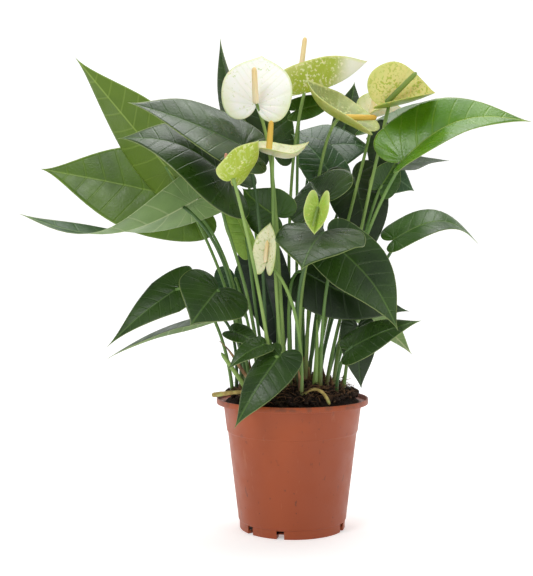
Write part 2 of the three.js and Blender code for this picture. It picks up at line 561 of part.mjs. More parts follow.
// ---- Assembly ----
const pieces = [{ name: 'pot', body: pot(), colour: [0xb5623a, 0.5] }];
const grown = [
  ...LEAVES.map((row) => ({ name: row.name, build: (extra) => leaf(row, extra), colour: TONES[row.tone] })),
  ...FLOWERS.map((row) => ({
    name: row.name, build: (extra) => spathe(row, extra), colour: TONES[row.tone],
  })),
  ...FLOWERS.map((row) => ({
    name: `${row.name}_spadix`, build: (extra) => spadix(row, extra), colour: TONES[row.pistils],
  })),
  ...RODS.map((row) => ({ name: row.name, build: (extra) => rod(row, extra), colour: row.colour })),
];

const plant = new THREE.Group();
plant.name = 'potted_anthurium';
let soil = peat();
for (const { name, build, colour } of grown) {
  pieces.push({ name, body: build(0), colour });
  soil = soil.subtract(build(GAP));
}
pieces.push({ name: 'peat', body: soil, colour: [0x2e211a, 0.95] });
for (const { name, body, colour } of pieces) {
  plant.add(toMesh(name, body, colour));
}

export default plant;
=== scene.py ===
# Potted anthurium: the looks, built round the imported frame.
# The plant's own sizes are in millimetres, as in the part's source; Blender's are in metres.
import math
import random

import bmesh
import bpy
import numpy as np
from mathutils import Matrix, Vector, noise


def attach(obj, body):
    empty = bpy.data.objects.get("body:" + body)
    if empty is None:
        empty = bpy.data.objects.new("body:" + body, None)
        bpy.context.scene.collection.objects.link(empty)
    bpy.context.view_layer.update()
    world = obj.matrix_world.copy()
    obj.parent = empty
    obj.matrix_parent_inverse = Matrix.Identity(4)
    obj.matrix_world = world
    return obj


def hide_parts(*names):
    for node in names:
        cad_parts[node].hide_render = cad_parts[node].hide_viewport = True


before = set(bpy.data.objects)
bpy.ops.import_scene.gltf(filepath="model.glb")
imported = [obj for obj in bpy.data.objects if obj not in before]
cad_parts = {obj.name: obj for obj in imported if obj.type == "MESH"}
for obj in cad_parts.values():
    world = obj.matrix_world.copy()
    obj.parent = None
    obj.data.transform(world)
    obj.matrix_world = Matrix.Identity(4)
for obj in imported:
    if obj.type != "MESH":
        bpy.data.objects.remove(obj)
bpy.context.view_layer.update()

MM = 0.001
rng = random.Random(7)

# ---- Driving dimensions, repeated from the part's source ----
POT_HEIGHT = 146
RIM_RADIUS = 85
RIM_SKIRT = 6
NECK_RADIUS = 77.2
STEP_HEIGHT = 109
STEP_RADIUS = 72.4
FOOT_BAND = 9.6
FOOT_RADIUS = 59
WALL = 1.4
FLOOR_TOP = 4
FLOOR_RAISE = 2.5
HUB_RADIUS = 20
FOOT_RING_INSIDE = 49
NOTCH_WIDTH = 8.5
NOTCH_HEIGHT = 9
NOTCH_DEPTH = 14
NOTCH_AZIMUTHS = [-52, -14, 66, 128, 180, 232]
PEAT_EDGE = 139
PEAT_CENTRE = 163
PLANTING_DEPTH = 12
STEM_OVERRUN = 0.04

# ---- Meshes, finer than in the part's source: thicknesses, and how many steps and copies ----
BLADE_THICKNESS = 0.8
SPATHE_THICKNESS = 0.9
BLADE_RINGS = 18
OUTLINE_STEPS = (14, 12, 8)
STEM_STEPS = 30
STEM_SIDES = 10
SPADIX_SIDES = 40
ROD_STEPS = 26
HUSK_STEPS = 14
FIBRE_STEPS = 8

POT_SIDES = 180
POT_CORNER = 0.6
SHARP_EDGE = 32  # degrees
MOUND_RINGS = 56
MOUND_SIDES = 150
MOUND_SKIRT = 20
CRUMBS = 2400
CRUMB_SIZES = (0.6, 0.9, 1.3, 1.8, 2.6)
LIGHT_CRUMBS = 0.16
FIBRES = 800

# Half of each outline as three Bezier stretches from the tip: share of the length, share of the half width.
LEAF_OUTLINE = [
    [[1, 0], [0.84, 0.03], [0.55, 1], [0.18, 1]],
    [[0.18, 1], [-0.1, 1], [-0.28, 0.85], [-0.26, 0.46]],
    [[-0.26, 0.46], [-0.25, 0.2], [-0.12, 0.04], [-0.03, 0]],
]
SPATHE_OUTLINE = [
    [[1, 0], [0.9, 0.1], [0.78, 1], [0.25, 1]],
    [[0.25, 1], [-0.08, 1], [-0.34, 0.8], [-0.3, 0.4]],
    [[-0.3, 0.4], [-0.27, 0.15], [-0.12, 0.04], [-0.03, 0]],
]

# root is where the stem enters the peat, stem its bend points, joint and tip the ends of the midrib.
# face is the direction of the upper surface: degrees round from the front towards +X, then degrees up.
# bow arches the midrib towards that face, sway bends it sideways, and twist, in degrees, turns the blade
# about its midrib from joint to tip. width is the full width, and wave ripples the margin, in millimetres.
# fold and curl are degrees by which each half rises at the midrib and on towards the margin;
# ease is the share of the fold that is gone at the tip. taper draws the outline in towards the tip,
# and lobe lengthens the lobes behind the joint.
LEAVES = [
    # the light tone here is painted backlight shining through the blade
    {"name": "leaf_01", "tone": "light", "root": [-54, 12], "stem": [[-55, 20, 255], [-108, 26, 350]],
     "joint": [-140, 25, 402], "tip": [-250, 42, 534], "face": [145, 28], "width": 98,
     "bow": 0.05, "sway": 0.05, "fold": 10, "curl": -8, "wave": 1},
    {"name": "leaf_02", "tone": "dark", "root": [-26, -26], "stem": [[-34, -35, 300], [-34, -55, 396]],
     "joint": [-54, -62, 420], "tip": [-170, -104, 460], "face": [-15, 48], "width": 98,
     "bow": 0.02, "sway": 0.02, "fold": 14, "curl": -25, "wave": 1, "lobe": 0.8},
    {"name": "leaf_03", "tone": "dark", "root": [-36, -22],
     "stem": [[-38, -20, 275], [-77, -34, 335], [-88, -42, 370]], "joint": [-70, -45, 388],
     "tip": [-186, -66, 428], "face": [-10, 50], "width": 112,
     "bow": 0.14, "sway": 0.02, "fold": 8, "curl": -22, "wave": 1},
    # the light tone here is painted backlight shining through the blade
    {"name": "leaf_04", "tone": "light", "root": [-50, 24], "stem": [[-56, 30, 265], [-80, 60, 340]],
     "joint": [-128, 72, 374], "tip": [-302, 92, 410], "face": [-20, 14], "width": 110,
     "bow": 0.03, "fold": 8, "curl": -14, "wave": 2},
    {"name": "leaf_05", "tone": "pale", "root": [-58, -12], "stem": [[-52, -15, 255], [-78, -12, 328]],
     "joint": [-114, -10, 363], "tip": [-296, -40, 350], "face": [0, 88], "width": 78,
     "bow": -0.15, "fold": 14, "curl": -10, "twist": -95, "wave": 1},
    {"name": "leaf_06", "tone": "dark", "root": [-18, 38], "stem": [[-34, 50, 290], [-50, 66, 385]],
     "joint": [-58, 68, 450], "tip": [-84, 70, 563], "face": [-62, 8], "width": 52,
     "bow": 0.05, "sway": 0.04, "fold": 22, "curl": -20},
    {"name": "leaf_07", "tone": "dark", "root": [-6, 26], "stem": [[-20, 50, 300], [-22, 82, 370]],
     "joint": [-24, 84, 438], "tip": [-36, 100, 540], "face": [0, 5], "width": 60,
     "bow": 0.05, "fold": 10, "curl": -15, "wave": 1},
    {"name": "leaf_08", "tone": "grey", "root": [16, 34], "stem": [[10, 60, 300], [14, 80, 400]],
     "joint": [26, 92, 434], "tip": [102, 110, 436], "face": [5, 40], "width": 80,
     "bow": 0.1, "fold": 6, "curl": -20, "wave": 1},
    {"name": "leaf_09", "tone": "grey", "root": [8, 20], "stem": [[12, 44, 300], [34, 56, 375]],
     "joint": [45, 57, 403], "tip": [0, 82, 451], "face": [10, 42], "width": 62,
     "bow": 0.1, "fold": 6, "curl": -20, "wave": 1},
    {"name": "leaf_10", "tone": "dark", "root": [4, -10], "stem": [[8, -8, 278], [23, -6, 330]],
     "joint": [34, -20, 366], "tip": [20, 34, 390], "face": [-58, 46], "width": 84,
     "bow": 0.06, "fold": 12, "curl": -22, "wave": 1},
    {"name": "leaf_11", "tone": "dark", "root": [8, -38], "stem": [[-4, -52, 250], [8, -72, 312]],
     "joint": [31, -72, 329], "tip": [6, -126, 290], "face": [-12, 48], "width": 96,
     "bow": 0.06, "sway": 0.02, "fold": 4, "curl": -14, "wave": 3},
    {"name": "leaf_12", "tone": "dark", "root": [30, -26], "stem": [[30, -40, 257], [39, -46, 302]],
     "joint": [45, -50, 315], "tip": [109, -76, 226], "face": [12, 18], "width": 72,
     "bow": 0.04, "sway": -0.06, "fold": 4, "curl": -5, "wave": 1, "lobe": 0.8},
    {"name": "leaf_13", "tone": "shade", "root": [-2, -32], "stem": [[-6, -36, 240], [-9, -27, 300]],
     "joint": [10, -21, 288], "tip": [130, -14, 243], "face": [10, 10], "width": 70,
     "bow": 0.03, "sway": 0.06, "fold": 4, "curl": -10, "wave": 2, "lobe": 0.2},
    {"name": "leaf_14", "tone": "dark", "root": [48, -26], "stem": [[46, -40, 180], [54, -44, 201]],
     "joint": [62, -44, 205], "tip": [135, -66, 236], "face": [0, 52], "width": 50,
     "bow": 0.05, "fold": 6, "curl": -14, "lobe": 0.6},
    {"name": "leaf_15", "tone": "shade", "root": [56, -6], "stem": [[62, -8, 205], [67, -10, 232]],
     "joint": [72, -16, 226], "tip": [76, -18, 157], "face": [10, 12], "width": 42,
     "bow": 0.05, "sway": 0.03, "fold": 12, "curl": -14, "lobe": 0.6},
    {"name": "leaf_16", "tone": "pale", "root": [46, 28], "stem": [[58, 40, 220], [80, 58, 240]],
     "joint": [88, 60, 234], "tip": [145, 72, 187], "face": [150, 30], "width": 40,
     "bow": 0.08, "fold": 14, "curl": -12},
    {"name": "leaf_17", "tone": "mid", "root": [38, 22], "stem": [[50, 26, 232], [107, 18, 291]],
     "joint": [117, 16, 324], "tip": [215, 34, 319], "face": [-8, 58], "width": 58,
     "bow": 0.26, "fold": 10, "curl": -10, "lobe": 0.4},
    {"name": "leaf_18", "tone": "bright", "root": [36, -16], "stem": [[52, -2, 262], [96, -16, 376]],
     "joint": [120, -30, 409], "tip": [254, -48, 448], "face": [0, 52], "width": 94,
     "bow": 0.14, "sway": -0.08, "fold": 32, "curl": -6, "wave": 1, "ease": 1, "lobe": 0.4},
    {"name": "leaf_19", "tone": "mid", "root": [16, 46], "stem": [[40, 84, 276], [84, 112, 396]],
     "joint": [116, 104, 464], "tip": [235, 150, 497], "face": [20, 72], "width": 52,
     "bow": 0.08, "fold": 8, "curl": -12},
    {"name": "leaf_20", "tone": "shade", "root": [28, 22], "stem": [[45, 44, 255], [90, 56, 347]],
     "joint": [124, 64, 409], "tip": [188, 72, 418], "face": [5, 66], "width": 40,
     "bow": 0.04, "fold": 10, "curl": -10, "wave": 2, "lobe": 0.5},
    {"name": "leaf_21", "tone": "grey", "root": [30, 38], "stem": [[47, 58, 252], [76, 70, 370]],
     "joint": [98, 80, 411], "tip": [150, 92, 383], "face": [10, 30], "width": 66,
     "bow": 0.06, "fold": 6, "curl": -16, "wave": 1, "lobe": 0.6},
    {"name": "leaf_22", "tone": "mid", "root": [46, 12], "stem": [[54, 18, 244], [92, 18, 368]],
     "joint": [101, 15, 384], "tip": [121, 27, 417], "face": [25, 14], "width": 36,
     "bow": 0.05, "fold": 18, "curl": -10},
    {"name": "leaf_23", "tone": "shade", "root": [18, 6], "stem": [[28, 34, 277], [55, 50, 380]],
     "joint": [71, 46, 397], "tip": [88, 34, 296], "face": [5, 16], "width": 70,
     "bow": 0.08, "sway": -0.03, "fold": 6, "curl": -14, "wave": 1, "lobe": 0.6},
    {"name": "leaf_24", "tone": "shade", "root": [16, 20], "stem": [[38, 60, 300], [90, 66, 416]],
     "joint": [115, 62, 447], "tip": [94, 62, 397], "face": [12, 18], "width": 46,
     "bow": 0.08, "fold": 12, "curl": -14},
    {"name": "leaf_25", "tone": "mid", "root": [-14, -14], "stem": [[-20, -12, 278], [-13, -12, 326]],
     "joint": [-17, -16, 348], "tip": [-56, -10, 380], "face": [-20, -6], "width": 58,
     "bow": 0.08, "sway": -0.02, "fold": 10, "curl": -12},
    {"name": "leaf_26", "tone": "black", "root": [-20, 8], "stem": [[-30, 18, 220], [-38, 20, 290]],
     "joint": [-34, 12, 293], "tip": [-9, -8, 186], "face": [0, 10], "width": 56,
     "bow": 0.05, "fold": 10, "curl": -10},
    {"name": "leaf_27", "tone": "dark", "root": [-28, -52], "stem": [[-23, -66, 188], [-21, -72, 203]],
     "joint": [-15, -76, 200], "tip": [-62, -101, 127], "face": [-26, 26], "width": 52,
     "bow": 0.08, "sway": -0.02, "fold": -8, "curl": -14, "wave": 1, "lobe": 0.6},
    {"name": "leaf_28", "tone": "dark", "root": [-36, -44], "stem": [[-40, -47, 186], [-38, -50, 204]],
     "joint": [-31, -65, 210], "tip": [-70, -80, 185], "face": [-10, 50], "width": 30,
     "bow": 0.1, "fold": 14, "curl": -14, "lobe": 0.4},
    {"name": "leaf_29", "tone": "dark", "root": [-50, -24], "stem": [[-51, -30, 200], [-67, -34, 224]],
     "joint": [-64, -38, 222], "tip": [-34, -58, 206], "face": [-20, 50], "width": 26,
     "bow": 0.08, "fold": 12, "curl": -14},
    {"name": "leaf_30", "tone": "dark", "root": [-66, -6], "stem": [[-68, -18, 210], [-98, -14, 278]],
     "joint": [-127, -4, 269], "tip": [-205, -20, 204], "face": [-18, 34], "width": 56,
     "bow": 0.06, "sway": -0.01, "fold": 8, "curl": -16, "wave": 1, "taper": 0.7},
    {"name": "leaf_31", "tone": "dark", "root": [-46, -14], "stem": [[-52, -18, 223], [-70, -36, 262]],
     "joint": [-82, -42, 268], "tip": [-109, -80, 231], "face": [17, 33], "width": 80,
     "bow": 0.08, "fold": 6, "curl": -18, "wave": 1},
    {"name": "leaf_32", "tone": "pale", "root": [-64, 10], "stem": [[-60, 12, 203], [-66, 14, 232]],
     "joint": [-84, 12, 241], "tip": [-208, 2, 189], "face": [-30, 100], "width": 50,
     "bow": 0.06, "sway": 0.05, "fold": -20, "curl": -4, "wave": 1, "lobe": 0.35},
    {"name": "leaf_33", "tone": "grey", "root": [-34, 28], "stem": [[-48, 56, 218], [-61, 70, 270]],
     "joint": [-67, 74, 281], "tip": [-55, 84, 230], "face": [-10, 20], "width": 52,
     "bow": 0.1, "fold": 8, "curl": -14},
    {"name": "leaf_34", "tone": "young", "root": [-26, -6], "stem": [[-41, -14, 233], [-47, -14, 298]],
     "joint": [-50, -12, 322], "tip": [-76, -2, 390], "face": [-40, 10], "width": 36,
     "bow": 0.04, "fold": 34, "curl": -8},
    {"name": "leaf_35", "tone": "dark", "root": [10, 44], "stem": [[30, 90, 300], [52, 125, 433]],
     "joint": [67, 132, 464], "tip": [81, 138, 523], "face": [30, 10], "width": 40,
     "bow": 0.05, "fold": 14, "curl": -14},
    {"name": "leaf_36", "tone": "mid", "root": [6, 32], "stem": [[6, 34, 300], [5, 34, 420]],
     "joint": [7, 40, 473], "tip": [58, 38, 486], "face": [0, 30], "width": 34, "fold": 10, "curl": -10},
]

FLOWERS = [
    {"name": "flower_1", "tone": "white", "root": [-5, -22], "stem": [[-20, -38, 300], [-14, -35, 407]],
     "joint": [-40, -46, 466], "tip": [-34, -40, 520], "face": [-6, 2], "width": 77,
     "bow": 0.06, "fold": 4, "curl": 10, "top": [-42, -70, 502], "radius": 3.5, "pistils": "cream"},
    {"name": "flower_2", "tone": "lime", "root": [0, 14], "stem": [[-6, 30, 300], [-5, 32, 413]],
     "joint": [10, 16, 488], "tip": [88, 40, 530], "face": [180, 60], "width": 70,
     "bow": -0.1, "fold": 40, "curl": 14, "top": [15, 26, 554], "radius": 3.3, "pistils": "cream"},
    {"name": "flower_3", "tone": "olive", "root": [14, -4],
     "stem": [[22, 40, 280], [24, 66, 400], [40, 36, 450]], "joint": [52, -16, 454],
     "tip": [15, -18, 500], "face": [65, 34], "width": 100, "bow": -0.14,
     "fold": 14, "curl": 14, "top": [92, -22, 456], "radius": 3.6, "pistils": "ochre", "lobe": 2.1},
    {"name": "flower_4", "tone": "speckle", "root": [44, -6], "stem": [[60, 5, 267], [92, 7, 400]],
     "joint": [104, -10, 469], "tip": [157, -16, 484], "face": [-12, 45], "width": 98,
     "bow": -0.04, "fold": 42, "curl": 2, "top": [135, -24, 505], "radius": 3.1, "pistils": "green"},
    {"name": "flower_5", "tone": "cream", "root": [24, 12], "stem": [[46, 16, 300], [86, 26, 416]],
     "joint": [92, 40, 464], "tip": [128, 50, 478], "face": [0, 60], "width": 62,
     "bow": -0.04, "fold": 38, "curl": 10, "top": [97, 36, 494], "radius": 3, "pistils": "cream"},
    {"name": "flower_6", "tone": "cream", "root": [-8, -40], "stem": [[-23, -52, 279], [-22, -66, 374]],
     "joint": [-25, -64, 411], "tip": [16, -66, 425], "face": [0, 72], "width": 50,
     "bow": -0.24, "fold": 18, "curl": 14, "top": [-24, -66, 447], "radius": 3.4, "pistils": "ochre"},
    {"name": "flower_7", "tone": "lime", "root": [-18, -42], "stem": [[-34, -57, 268], [-56, -106, 361]],
     "joint": [-64, -112, 381], "tip": [-37, -118, 420], "face": [-140, 20], "width": 42,
     "bow": -0.06, "fold": 12, "curl": 20, "wave": 1, "lobe": 0.4,
     "top": [-70, -113, 408], "radius": 2.6, "pistils": "rose"},
    {"name": "flower_8", "tone": "young", "root": [10, -22],
     "stem": [[0, -36, 270], [14, -34, 330], [42, -44, 356]], "joint": [25, -80, 354],
     "tip": [20, -97, 326], "face": [-10, 24], "width": 34, "fold": 36, "curl": 8,
     "top": [18, -100, 334], "radius": 1.6, "pistils": "green", "lobe": 1.9},
    {"name": "flower_9", "tone": "cream", "root": [8, -54], "stem": [[12, -62, 226], [-2, -62, 275]],
     "joint": [-29, -60, 297], "tip": [-25, -60, 340], "face": [-24, 0], "width": 32,
     "fold": 30, "curl": 6, "top": [-28, -64, 321], "radius": 2, "pistils": "cream"},
]

# Tapering rods: bend points and end radii.
RODS = {
    "root_left": ((1.8, 2.9), [[-48, -50, 158], [-62, -58, 160], [-78, -52, 156], [-88, -44, 154]]),
    "root_front": ((1.5, 2), [[12, -56, 157], [24, -60, 168], [34, -64, 160], [38, -66, 146]]),
    "sheath_green": ((3.6, 0.9), [[24, -27, 158], [27, -32, 200], [26, -32, 236]]),
    "stub_cut": ((2.6, 2.3), [[-50, -40, 158], [-58, -42, 172], [-78, -44, 200]]),
}


# ---- Shader helpers ----
def srgb(code):
    """Linear colour of a 0xRRGGBB code."""
    parts = [((code >> shift) & 255) / 255 for shift in (16, 8, 0)]
    return tuple(c / 12.92 if c <= 0.04045 else ((c + 0.055) / 1.055) ** 2.4 for c in parts) + (1,)


class Shader:
    """A node-based material, with a short call for each kind of node it uses."""

    def __init__(self, name, **settings):
        self.material = bpy.data.materials.new(name)
        self.material.use_nodes = True
        self.tree = self.material.node_tree
        self.bsdf = self.tree.nodes["Principled BSDF"]
        for socket, value in settings.items():
            self.bsdf.inputs[socket.replace("_", " ")].default_value = value

    def put(self, socket, value):
        if isinstance(value, bpy.types.NodeSocket):
            self.tree.links.new(value, socket)
        else:
            socket.default_value = value

    def set(self, socket, value):
        self.put(self.bsdf.inputs[socket], value)

    def add(self, kind, **inputs):
        """A new node of this kind, with a value or a link on each named input."""
        node = self.tree.nodes.new("ShaderNode" + kind)
        for socket, value in inputs.items():
            self.put(node.inputs[socket.replace("_", " ")], value)
        return node

    def attribute(self, name):
        node = self.add("Attribute")
        node.attribute_name = name
        return node

    def parts(self, vector):
        return self.add("SeparateXYZ", Vector=vector).outputs

    def place(self, stretch=(1, 1, 1)):
        coords = self.add("TexCoord").outputs["Object"]
        return self.add("Mapping", Scale=stretch, Vector=coords).outputs[0]

    def noise(self, scale, detail=3, vector=None, rough=0.5):
        place = vector or self.place()
        return self.add("TexNoise", Scale=scale, Detail=detail, Roughness=rough, Vector=place).outputs["Fac"]

    def cells(self, scale):
        return self.add("TexVoronoi", Scale=scale, Vector=self.place()).outputs["Distance"]

    def math(self, kind, first, second=0.0):
        node = self.add("Math")
        node.operation = kind
        self.put(node.inputs[0], first)
        self.put(node.inputs[1], second)
        return node.outputs[0]

    def off_vein(self, phase):
        """Distance from the nearest lateral vein, as a share of the space between two veins."""
        cycle = self.math("FRACT", self.math("ADD", phase, 20.5))
        return self.math("ABSOLUTE", self.math("SUBTRACT", cycle, 0.5))

    def step(self, value, low, high, start=0.0, end=1.0):
        """start below low, end above high, and a smooth change between."""
        node = self.add("MapRange", Value=value, From_Min=low, From_Max=high, To_Min=start, To_Max=end)
        node.interpolation_type = "SMOOTHSTEP"
        return node.outputs[0]

    def mix(self, share, first, second):
        node = self.add("Mix", Factor=share)
        node.data_type = "RGBA"
        self.put(node.inputs[6], first)
        self.put(node.inputs[7], second)
        return node.outputs[2]

    def streaks(self, scale, squeeze, first, second):
        """Two colours in streaks that run up the piece."""
        share = self.step(self.noise(scale, 4, self.place((1, 1, squeeze))), 0.35, 0.65)
        return self.mix(share, srgb(first), srgb(second))

    def rough(self, scale, low, high, detail=3):
        """Roughness that wanders from low to high."""
        self.set("Roughness", self.step(self.noise(scale, detail), 0.3, 0.7, low, high))

    def bump(self, height, distance, strength=1.0):
        node = self.add("Bump", Strength=strength, Distance=distance, Height=height)
        self.set("Normal", node.outputs[0])


# ---- Materials ----
# For each tone of leaf: upper side, its darker parts, veins, under side, margin, roughness.
LEAF_TONES = {
    "dark": (0x2e4a14, 0x1e370e, 0x587836, 0x6b8640, 0xa9b86e, 0.3),
    "shade": (0x213810, 0x14260a, 0x3c5a24, 0x516c30, 0x7d9357, 0.36),
    # painted shade: a very dark green for the leaf that hangs in deep shade behind the petioles
    "black": (0x182b1a, 0x101e13, 0x2c4529, 0x3a5233, 0x5c7040, 0.45),
    "mid": (0x3b6016, 0x2a4a10, 0x6c8c34, 0x7c984a, 0xb4c276, 0.32),
    # painted sheen: this tone's duller, paler green stands in for the sheen these leaves reflect
    "grey": (0x35562f, 0x264424, 0x66885a, 0x77956c, 0xa9b986, 0.27),
    # painted backlight: a lighter yellow-green that stands in for the light shining through leaf_01 and
    # leaf_04
    "light": (0x50700e, 0x3e5c0a, 0x7c9834, 0x5a7612, 0x9cb450, 0.36),
    "pale": (0x3f6230, 0x2e5026, 0x84a062, 0x7d9a5a, 0xd0d8a6, 0.36),
    "bright": (0x5e8c14, 0x467410, 0x9cb640, 0x8aa84a, 0xc4d07e, 0.27),
    "young": (0x93b446, 0x7ba03c, 0xb5ca6c, 0xa2bf58, 0xcdd98a, 0.42),
}
# For each tone of spathe: inner side, outer side, speckles, their share, margin.
SPATHE_TONES = {
    "white": (0xf6f5ee, 0xf0f1de, 0xc3d38a, 0.05, 0xd3dfa0),
    "lime": (0xb4c05a, 0xa3b832, 0xe4e8b4, 0.34, 0xd3dc8c),
    "olive": (0x8d9a4c, 0xa9b93c, 0xd9df9a, 0.3, 0xd0d888),
    "speckle": (0xdcd98a, 0x9ab236, 0xa8ba38, 0.42, 0xc4d070),
    "cream": (0xe9e7c2, 0xe1e2b6, 0xb9c673, 0.2, 0xb4c66a),
    "young": (0x9dbb46, 0x8fb03e, 0xb9ce6a, 0.25, 0xd2dd8c),
}
# For each tone of spadix: foot and top.
PISTIL_TONES = {
    "cream": (0xf6e9c4, 0xf2d695),
    "ochre": (0xecca5c, 0xe4b545),
    "green": (0x5f7d33, 0x7f9a45),
    "rose": (0xd9a78e, 0xc98d76),
}


def leaf_material(tone):
    """The blade attribute is the vein phase, millimetres from the midrib, and the share of the way out."""
    upper, deep, vein, under, margin, roughness = LEAF_TONES[tone]
    s = Shader("leaf_" + tone, Specular_IOR_Level=0.4, Coat_Weight=0.05, Coat_Roughness=0.3)
    phase, lateral, share = s.parts(s.attribute("blade").outputs["Vector"])
    face = s.attribute("under").outputs["Fac"]
    veins = s.step(s.off_vein(phase), 0.015, 0.075, 1, 0)
    nets = s.step(s.cells(260), 0.02, 0.3, 1, 0)
    rib = s.step(s.math("ABSOLUTE", lateral), 0.5, 1.5, 1, 0)
    edge = s.step(share, 0.978, 0.995)
    blotches = s.step(s.noise(22, 4), 0.35, 0.7)
    top = s.mix(blotches, srgb(upper), srgb(deep))
    top = s.mix(s.math("MULTIPLY", nets, 0.08), top, srgb(vein))
    top = s.mix(s.math("MULTIPLY", veins, 0.15), top, srgb(vein))
    top = s.mix(s.math("MULTIPLY", rib, 0.55), top, srgb(vein))
    back = s.mix(blotches, srgb(under), s.mix(0.35, srgb(under), srgb(deep)))
    back = s.mix(s.math("MULTIPLY", veins, 0.2), back, srgb(margin))
    back = s.mix(s.math("MULTIPLY", rib, 0.5), back, srgb(margin))
    body = s.mix(face, top, back)
    s.set("Base Color", s.mix(s.math("MULTIPLY", edge, 0.45), body, srgb(margin)))
    wear = s.step(s.noise(60, 5), 0.3, 0.75, roughness - 0.05, roughness + 0.12)
    s.set("Roughness", s.math("ADD", wear, s.math("MULTIPLY", face, 0.16)))
    relief = s.math("SUBTRACT", s.noise(420, 4), s.math("MULTIPLY", s.math("ADD", veins, rib), 0.9))
    s.bump(relief, 0.0006, 0.6)
    return s.material


def spathe_material(tone, name, tip=0.0):
    """tip is how far the end of the spathe is bleached white."""
    inner, outer, speck, share_of_specks, margin = SPATHE_TONES[tone]
    s = Shader(name, Subsurface_Weight=0.15, Subsurface_Scale=0.004, Specular_IOR_Level=0.45)
    phase, _, share = s.parts(s.attribute("blade").outputs["Vector"])
    face = s.attribute("under").outputs["Fac"]
    veins = s.step(s.off_vein(phase), 0.04, 0.2, 1, 0)
    sparse = 0.66 - 0.3 * share_of_specks
    specks = s.step(s.noise(330, 2), sparse, sparse + 0.04)
    washes = s.step(s.noise(40, 3), 0.4, 0.65)
    patches = s.math("MULTIPLY", specks, s.math("ADD", s.math("MULTIPLY", washes, 0.7), 0.2))
    body = s.mix(face, srgb(inner), srgb(outer))
    body = s.mix(s.math("MULTIPLY", veins, 0.12), body, srgb(margin))
    body = s.mix(patches, body, srgb(speck))
    body = s.mix(s.math("MULTIPLY", s.step(phase, 1.6, 4.2), tip), body, srgb(0xf3f3e6))
    edge = s.step(share, 0.93, 0.99)
    body = s.mix(s.math("MULTIPLY", edge, 0.7), body, srgb(margin))
    lobes = s.math("MULTIPLY", s.step(phase, -2.5, 0.3, 1, 0), s.step(share, 0.55, 1))
    s.set("Base Color", s.mix(s.math("MULTIPLY", lobes, 0.55), body, srgb(margin)))
    s.rough(80, 0.34, 0.46)
    s.bump(s.math("SUBTRACT", s.noise(500, 3), s.math("MULTIPLY", veins, 0.8)), 0.0004, 0.5)
    return s.material


def spadix_material(tone):
    foot, top = PISTIL_TONES[tone]
    s = Shader("spadix_" + tone, Subsurface_Weight=0.1, Subsurface_Scale=0.002)
    along, relief, _ = s.parts(s.attribute("blade").outputs["Vector"])
    body = s.mix(along, srgb(foot), srgb(top))
    # painted shade: the colour turns darker brown in the grooves between the bumps
    dark = s.math("MULTIPLY", s.step(relief, -1, 0.6, 1, 0), 0.18)
    s.set("Base Color", s.mix(dark, body, srgb(0x8a6a2c)))
    s.rough(300, 0.5, 0.7)
    s.bump(s.noise(900, 3), 0.0003, 0.5)
    return s.material


def stem_material(name, colour, other, foot, roughness=0.42):
    """A smooth stem that turns brownish towards the peat."""
    s = Shader(name, Specular_IOR_Level=0.5)
    along = s.parts(s.attribute("blade").outputs["Vector"])[0]
    body = s.streaks(60, 0.08, colour, other)
    flecks = s.step(s.noise(500, 2), 0.66, 0.72)
    body = s.mix(s.math("MULTIPLY", flecks, 0.35), body, srgb(foot))
    s.set("Base Color", s.mix(s.step(along, 0.0, 0.12, 0.75, 0), body, srgb(foot)))
    s.rough(120, roughness - 0.06, roughness + 0.1)
    s.bump(s.noise(400, 4, s.place((1, 1, 0.1))), 0.0004, 0.5)
    return s.material


def root_material():
    s = Shader("aerial_root")
    body = s.streaks(240, 0.4, 0xb6a05c, 0x8f7a40)
    s.set("Base Color", s.mix(s.step(s.noise(90, 3), 0.5, 0.7), body, srgb(0x9fa860)))
    s.rough(200, 0.65, 0.85)
    s.bump(s.noise(700, 5), 0.0006, 0.7)
    return s.material


def husk_material():
    s = Shader("dry_husk")
    body = s.streaks(300, 0.1, 0x94714a, 0x5f4630)
    s.set("Base Color", s.mix(s.step(s.noise(70, 3), 0.5, 0.7), body, srgb(0xb59a72)))
    s.rough(200, 0.7, 0.9)
    s.bump(s.noise(600, 4, s.place((1, 1, 0.2))), 0.0005, 0.7)
    return s.material


def peat_material(name, colour, other, light):
    s = Shader(name, Specular_IOR_Level=0.25)
    grains = s.step(s.noise(230, 6, rough=0.7), 0.35, 0.65)
    body = s.mix(grains, srgb(colour), srgb(other))
    flecks = s.step(s.noise(620, 3), 0.62, 0.7)
    s.set("Base Color", s.mix(s.math("MULTIPLY", flecks, 0.6), body, srgb(light)))
    s.rough(150, 0.8, 0.98)
    s.bump(s.noise(420, 8, rough=0.75), 0.0025)
    return s.material


def pot_material():
    s = Shader("pot_plastic", Specular_IOR_Level=0.45)
    height = s.parts(s.place())[2]
    clouds = s.step(s.noise(9, 4, s.place((1, 1, 0.5))), 0.35, 0.7)
    body = s.mix(clouds, srgb(0xa0481a), srgb(0x903e14))
    scuffs = s.step(s.noise(70, 6, s.place((1, 1, 0.25)), rough=0.7), 0.6, 0.72)
    body = s.mix(s.math("MULTIPLY", scuffs, 0.2), body, srgb(0xc98a66))
    low = s.step(height, 0.0, 0.09, 1, 0.4)
    dirt = s.math("MULTIPLY", s.step(s.noise(190, 3, s.place((1, 1, 0.6))), 0.655, 0.7), low)
    body = s.mix(s.math("MULTIPLY", dirt, 0.7), body, srgb(0x4a2a1a))
    lip = s.math("MULTIPLY", s.step(height, 0.1395, 0.1425), s.step(s.noise(110, 5), 0.46, 0.62))
    s.set("Base Color", s.mix(s.math("MULTIPLY", lip, 0.5), body, srgb(0x5c3a26)))
    s.rough(55, 0.38, 0.52, 4)
    s.bump(s.noise(1400, 3), 0.00012, 0.4)
    return s.material


